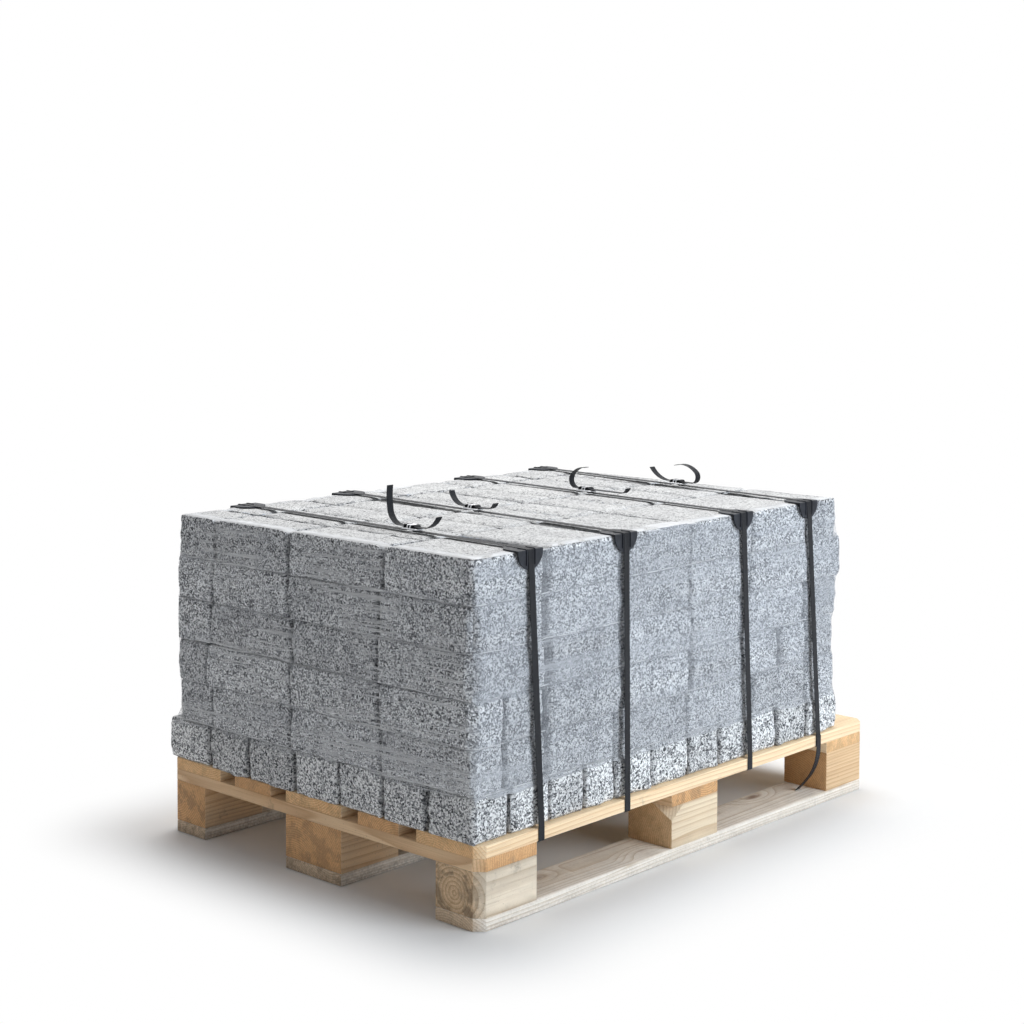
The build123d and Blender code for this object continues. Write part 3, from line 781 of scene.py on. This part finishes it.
def wear_stone(stone, ways, number):
    """Marks the arrises of a stone that are rounded off by the splitting, seen from outside and above."""
    places, normals = places_of(stone), normals_of(stone)
    low, high = places.min(0), places.max(0)
    worn = np.zeros(len(places))
    joint_shade = np.zeros(len(places))
    for axis, way in ways:
        along = 1 - axis
        outward = np.clip(normals[:, axis] * way * 1.5, 0, 1)
        for which, end in ((LOWER, low[along]), (HIGHER, high[along])):
            wear = wear_at(number, (axis, way), end, which)
            at_corner = (along, which) in ways
            if at_corner:
                wear = CORNER_WEAR[number] if way + which == -2 else OTHER_CORNER_WEAR
            away = np.abs(places[:, along] - end)
            reach = ARRIS_REACH * (WORN_SPREAD + WORN_SPREAD * wear)
            worn = np.maximum(worn, outward * wear * np.clip(1 - away / reach, 0, 1))
            # Dirt and painted shade along the joint beside this arris, darker and wider the more it is
            # broken away
            if not at_corner:
                dirt_and_shade = min(1, DIRT_AND_SHADE_DEPTH[0] + DIRT_AND_SHADE_DEPTH[1] * wear)
                reach = DIRT_AND_SHADE_REACH[0] + DIRT_AND_SHADE_REACH[1] * wear
                joint_shade = np.maximum(joint_shade, dirt_and_shade * np.clip(1 - away / reach, 0, 1))
        if number == 1:
            for end in (low[2], high[2]):
                near = np.clip(1 - np.abs(places[:, 2] - end) / ARRIS_REACH, 0, 1)
                worn = np.maximum(worn, outward * BED_WEAR * near)
    weigh(stone, "worn_arris", worn / WORN_MOST)
    paint(stone, "joint_shade", joint_shade)
    if number == TOP_COURSE:
        edge = np.full(len(places), 1.0)
        for axis in (0, 1):
            for way, end in ((-1, low[axis]), (1, high[axis])):
                if (axis, way) not in ways:
                    edge = np.minimum(edge, np.abs(places[:, axis] - end) / TOP_ARRIS_REACH)
        chips = np.clip(1 - edge, 0, 1) * np.clip(normals[:, 2], 0, 1)
        weigh(stone, "top_arris", chips)
        # Where the top arrises are chipped, kept for the material, which paints shade into the chips
        paint(stone, "chip_wear_and_shade", chips)


def split_course(number):
    """One course of setts from its CAD node, stone by stone."""
    course_node = f"setts_course_{number}"
    course = merged_copy(course_node, f"split_setts_{number}")
    low, high = corners(course)
    bpy.ops.object.mode_set(mode="EDIT")
    bpy.ops.mesh.select_all(action="SELECT")
    bpy.ops.mesh.separate(type="LOOSE")
    bpy.ops.object.mode_set(mode="OBJECT")
    stones = bpy.context.selected_objects
    stones = sorted(stones, key=lambda stone: [round(place, 4) for place in corners(stone)[0]])
    for stone in stones:
        stone_low, stone_high = corners(stone)
        ways = outward_sides(stone_low, stone_high, low, high)
        settle_stone(stone, ways, (stone_low + stone_high) / 2, number)
        if ways or number == TOP_COURSE:
            finish_with(stone, "REMESH", mode="VOXEL", voxel_size=STONE_VOXEL if ways else TOP_VOXEL)
            wear_stone(stone, ways, number)
        paint(stone, "sett_tone", [DRAWS.random()] * len(stone.data.vertices))
    only(stones[0])
    for stone in stones:
        stone.select_set(True)
    bpy.ops.object.join()
    course = bpy.context.object
    course.name = f"split_setts_{number}"
    course.data.name = course.name
    roughen(course, low, high, number)
    return course


def roughen(course, low, high, number):
    """Gives the outward faces of a course their split relief, and keeps the sawn beds flat."""
    places, normals = places_of(course), normals_of(course)
    outward = np.zeros(len(places))
    for axis in (0, 1):
        for way, edge in ((-1, low[axis]), (1, high[axis])):
            near = np.clip(1.4 - np.abs(places[:, axis] - edge) / OUTER_REACH, 0, 1)
            outward = np.maximum(outward, near * np.clip(normals[:, axis] * way * 1.3, 0, 1))
    weigh(course, "split_sides", outward)
    for texture, bare, wrapped, level in RELIEF:
        finish_with(course, "DISPLACE", texture=texture, strength=bare if number == 1 else wrapped,
                    mid_level=level, texture_coords="LOCAL", vertex_group="split_sides")
    worn_away = -WORN_DEPTH * WORN_MOST
    finish_with(course, "DISPLACE", strength=worn_away, mid_level=0.0, vertex_group="worn_arris")
    most = COURSE_TRIANGLES
    if number == TOP_COURSE:
        finish_with(course, "DISPLACE", texture=chipped_edge, strength=0.009, mid_level=0.85, direction="Z",
                    texture_coords="LOCAL", vertex_group="top_arris")
        most = TOP_TRIANGLES
    triangles = sum(len(face.vertices) - 2 for face in course.data.polygons)
    if triangles > most:
        finish_with(course, "DECIMATE", ratio=most / triangles)
    only(course)
    bpy.ops.object.shade_smooth_by_angle(angle=math.radians(SPLIT_ANGLE))


courses = [split_course(number) for number in COURSES]
bare_granite = granite_material("bare_split_granite", 350.0, -0.08, (0.97, 0.985, 1.0), 0.8, False)
wrapped_granite = granite_material("wrapped_split_granite", 380.0, -0.02, (0.955, 0.975, 1.0), 0.7, True)
for number, course in zip(COURSES, courses):
    course.data.materials.clear()
    course.data.materials.append(bare_granite if number == 1 else wrapped_granite)
    place_on_part(course, "granite", f"setts_course_{number}")


# Stretch film: a fine band drawn onto the stones, folded in over the top edges

FILM_CELL = 0.0085
FILM_START = 0.012
FILM_GAP = 0.0009
FILM_SHEET = 0.00025
FILM_FOLD = 0.038
FILM_HEM = 0.008
HEM_REACH = 0.03


def cut_edges(piece, axis, cuts):
    """Divides every edge that runs along an axis."""
    only(piece)
    bpy.ops.object.mode_set(mode="EDIT")
    bpy.ops.mesh.select_mode(type="EDGE")
    bpy.ops.mesh.select_all(action="DESELECT")
    bpy.ops.object.mode_set(mode="OBJECT")
    places = places_of(piece)
    ends = np.zeros(len(piece.data.edges) * 2, int)
    piece.data.edges.foreach_get("vertices", ends)
    run = np.abs(places[ends[1::2]] - places[ends[::2]])
    chosen = run[:, axis] > 0.9 * run.sum(1)
    piece.data.edges.foreach_set("select", chosen.tolist())
    bpy.ops.object.mode_set(mode="EDIT")
    bpy.ops.mesh.subdivide(number_cuts=cuts)
    bpy.ops.object.mode_set(mode="OBJECT")


def wind_film():
    """A band of film round the upper courses that clings to their relief and bridges the joints."""
    only(courses[0])
    for course in courses[1:]:
        course.select_set(True)
    bpy.ops.object.duplicate()
    bpy.ops.object.join()
    load = bpy.context.object
    low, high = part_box("stretch_film")
    low.z -= FILM_HEM
    top = high.z - FILM_GAP
    size = [high[axis] - low[axis] + 2 * FILM_START for axis in (0, 1)] + [top - low.z]
    middle = [(high[axis] + low[axis]) / 2 for axis in (0, 1)] + [(top + low.z) / 2]
    bpy.ops.object.select_all(action="DESELECT")
    bpy.ops.mesh.primitive_cube_add(size=1, location=middle, scale=size)
    film = bpy.context.object
    film.name = "stretch_film_sheet"
    bpy.ops.object.transform_apply(location=True, rotation=True, scale=True)
    bpy.ops.object.mode_set(mode="EDIT")
    bpy.ops.mesh.select_mode(type="FACE")
    bpy.ops.mesh.select_all(action="DESELECT")
    bpy.ops.object.mode_set(mode="OBJECT")
    for face in film.data.polygons:
        face.select = face.normal.z < -0.9
    bpy.ops.object.mode_set(mode="EDIT")
    bpy.ops.mesh.delete(type="FACE")
    bpy.ops.object.mode_set(mode="OBJECT")
    for face in film.data.polygons:
        face.select = face.normal.z > 0.9
    bpy.ops.object.mode_set(mode="EDIT")
    bpy.ops.mesh.inset(thickness=FILM_FOLD + FILM_START)
    bpy.ops.mesh.delete(type="FACE")
    bpy.ops.object.mode_set(mode="OBJECT")
    for axis in range(3):
        cut_edges(film, axis, int(size[axis] / FILM_CELL))
    hem = np.clip(1 - (places_of(film)[:, 2] - low.z) / HEM_REACH, 0, 1)
    weigh(film, "hem", hem)
    finish_with(film, "DISPLACE", texture=cloud("hem_wave", 0.13), strength=0.02, mid_level=0.45,
                direction="Z", texture_coords="LOCAL", vertex_group="hem")
    cling = {"target": load, "wrap_method": "NEAREST_SURFACEPOINT", "offset": FILM_GAP}
    finish_with(film, "SHRINKWRAP", **cling)
    finish_with(film, "SMOOTH", factor=0.5, iterations=3)
    finish_with(film, "SHRINKWRAP", wrap_mode="OUTSIDE_SURFACE", **cling)
    finish_with(film, "SOLIDIFY", thickness=FILM_SHEET, offset=0)
    bpy.data.objects.remove(load)
    only(film)
    bpy.ops.object.shade_smooth()
    return film


film = wind_film()
film.data.materials.append(film_material())
place_on_part(film, "clear_film", "stretch_film")


# Pallet timber: each board and block with softened arrises and its own wood

ARRIS = 0.0014
FRESH = ((1.0, 0.79, 0.53), (0.72, 0.43, 0.2))
TAN = ((0.86, 0.61, 0.37), (0.5, 0.27, 0.12))
PALE = ((0.84, 0.7, 0.51), (0.56, 0.38, 0.22))
WEATHERED = ((0.86, 0.75, 0.6), (0.46, 0.33, 0.21))
# Pale worn wood for the bottom boards, raised near to white to paint in the light that the deck keeps off
# them
WORN_AND_PAINTED_LIGHT = ((1.0, 0.94, 0.86), (0.62, 0.5, 0.37))
ORANGE = ((0.76, 0.54, 0.32), (0.5, 0.27, 0.12))

# Node: colours, knots, grey, grime, and where the pith lies from the piece's middle, in metres
TIMBERS = {
    "deck_board_1": (FRESH, 0.25, 0.1, 0.35, (0.03, -0.06)),
    "deck_board_2": (TAN, 0.2, 0.2, 0.5, (-0.05, -0.05)),
    "deck_board_3": (FRESH, 0.3, 0.25, 0.5, (0.02, 0.07)),
    "deck_board_4": (TAN, 0.25, 0.2, 0.5, (0.06, -0.04)),
    "deck_board_5": (FRESH, 0.3, 0.2, 0.5, (-0.03, 0.06)),
    "stringer_board_1": (TAN, 0.35, 0.1, 0.5, (0.03, 0.05)),
    "stringer_board_2": (TAN, 0.3, 0.3, 0.5, (-0.04, 0.06)),
    "stringer_board_3": (FRESH, 0.3, 0.2, 0.5, (0.05, -0.05)),
    "block_left_front": (WEATHERED, 0.2, 0.6, 0.6, (0.006, -0.006)),
    "block_left_middle": (TAN, 0.2, 0.3, 0.6, (0.05, -0.06)),
    "block_left_back": (TAN, 0.3, 0.4, 0.6, (0.06, 0.05)),
    "block_middle_front": (PALE, 0.12, 0.15, 0.35, (0.07, -0.03)),
    "block_middle_middle": (TAN, 0.2, 0.3, 0.6, (-0.05, 0.05)),
    "block_middle_back": (TAN, 0.2, 0.3, 0.6, (0.04, 0.06)),
    "block_right_front": (ORANGE, 0.12, 0.1, 0.35, (0.04, -0.07)),
    "block_right_middle": (TAN, 0.2, 0.3, 0.6, (-0.06, 0.04)),
    "block_right_back": (TAN, 0.2, 0.3, 0.6, (0.05, -0.05)),
    "bottom_board_1": (WORN_AND_PAINTED_LIGHT, 0.3, 0.1, 0.45, (0.02, -0.08)),
    "bottom_board_2": (WORN_AND_PAINTED_LIGHT, 0.3, 0.45, 0.8, (-0.04, 0.06)),
    "bottom_board_3": (WORN_AND_PAINTED_LIGHT, 0.3, 0.45, 0.8, (0.03, 0.07)),
}


# Width of a growth ring. The near block was cut from a fast grown log
RING = 0.0042
WIDE_RINGS = {"block_left_front": 0.0076}


def saw_timber(node, colours, knots, grey, grime, pith):
    """One board or block with its arrises softened."""
    timber = merged_copy(node, f"{node}_timber")
    sharp = math.radians(30)
    finish_with(timber, "BEVEL", width=ARRIS, segments=2, limit_method="ANGLE", angle_limit=sharp)
    low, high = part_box(node)
    middle = (low + high) / 2
    across = node.startswith("stringer")
    side = middle.x if across else middle.y
    shift = (DRAWS.uniform(0, 3), -side - pith[0], -middle.z - pith[1])
    light, dark = colours
    ring = WIDE_RINGS.get(node, RING)
    wood = timber_material(f"{node}_wood", shift, across, light, dark, knots, grey, grime, ring)
    timber.data.materials.append(wood)
    only(timber)
    bpy.ops.object.shade_smooth_by_angle(angle=math.radians(40))
    place_on_part(timber, "softwood", node)


for node, facts in TIMBERS.items():
    saw_timber(node, *facts)


# Straps, protectors and buckles keep their CAD shape

def coat(node, material):
    target = nodes[node]
    target.data.materials.clear()
    target.data.materials.append(material)


# Loops of strap over the wires: place from the buckle's middle, half length, half height and thickness
LOOP_PLACE = 0.0085
LOOP_LENGTH = 0.0064
LOOP_HEIGHT = 0.0042
LOOP_BAND = 0.0008


def loop_strap(number):
    """The two loops in which a strap turns over the middle wires of its buckle."""
    low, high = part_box(f"wire_buckle_{number}")
    middle = (low + high) / 2
    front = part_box(f"corner_protector_front_{number}")
    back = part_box(f"corner_protector_back_{number}")
    run = (back[0] + back[1] - front[0] - front[1]) / 2
    turn = math.atan2(run.y, run.x)
    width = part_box("loose_strap_end")[1].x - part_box("loose_strap_end")[0].x
    loops = []
    for end in (-1, 1):
        x = middle.x + end * LOOP_PLACE * math.cos(turn)
        y = middle.y + end * LOOP_PLACE * math.sin(turn)
        place = (x, y, high.z - LOOP_HEIGHT)
        bpy.ops.object.select_all(action="DESELECT")
        bpy.ops.mesh.primitive_cylinder_add(
            vertices=20, radius=1, depth=width, end_fill_type="NOTHING", location=place,
            rotation=(math.radians(90), 0, turn), scale=(LOOP_LENGTH, LOOP_HEIGHT, 1))
        loop = bpy.context.object
        bpy.ops.object.transform_apply(location=True, rotation=True, scale=True)
        finish_with(loop, "SOLIDIFY", thickness=LOOP_BAND, offset=-1)
        only(loop)
        bpy.ops.object.shade_smooth_by_angle(angle=math.radians(40))
        loops.append(loop)
    only(loops[0])
    loops[1].select_set(True)
    bpy.ops.object.join()
    loop = bpy.context.object
    loop.name = f"strap_loops_{number}"
    loop.data.name = loop.name
    loop.data.materials.append(band)
    place_on_part(loop, "black_strap")


band = strap_material()
plastic = protector_material()
zinc = wire_material()
for number in STRAPS:
    loop_strap(number)
    coat(f"strap_{number}", band)
    coat(f"wire_buckle_{number}", zinc)
    coat(f"corner_protector_front_{number}", plastic)
    coat(f"corner_protector_back_{number}", plastic)
coat("loose_strap_end", band)
